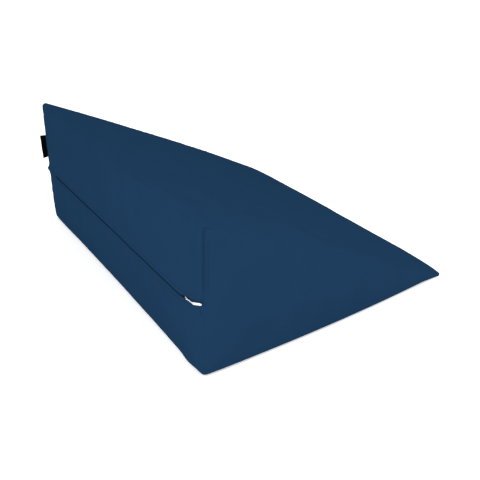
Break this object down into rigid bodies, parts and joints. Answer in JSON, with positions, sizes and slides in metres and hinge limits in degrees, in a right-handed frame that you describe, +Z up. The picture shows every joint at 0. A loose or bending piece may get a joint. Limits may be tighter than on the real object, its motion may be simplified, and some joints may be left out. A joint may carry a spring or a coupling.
{
  "type": "positioning wedge cushion",
  "caption": "Wedge-shaped positioning cushion in a wipe-clean navy cover, with an upright back closed by a zip, a sloping top face and triangular side panels.",
  "frame": {"origin": "middle of the flat base that the cushion lies on", "axes": "+Z up, +Y from the upright zipped back to the thin edge, +X along the width towards the end of the zip where its pull lies"},
  "size_m": [0.5198, 0.4183, 0.2008],
  "materials": {
    "cover": "matte coated cloth",
    "zip_tape": "matte woven tape",
    "slider_enamel": "satin enamel",
    "metal": "bright nickel",
    "label_tape": "matte woven tape"
  },
  "bodies": {
    "root": {"cushion": "cover", "zip_chain": "zip_tape", "zip_slider": "slider_enamel", "zip_pull": "metal", "label": "label_tape"}
  },
  "joints": []
}
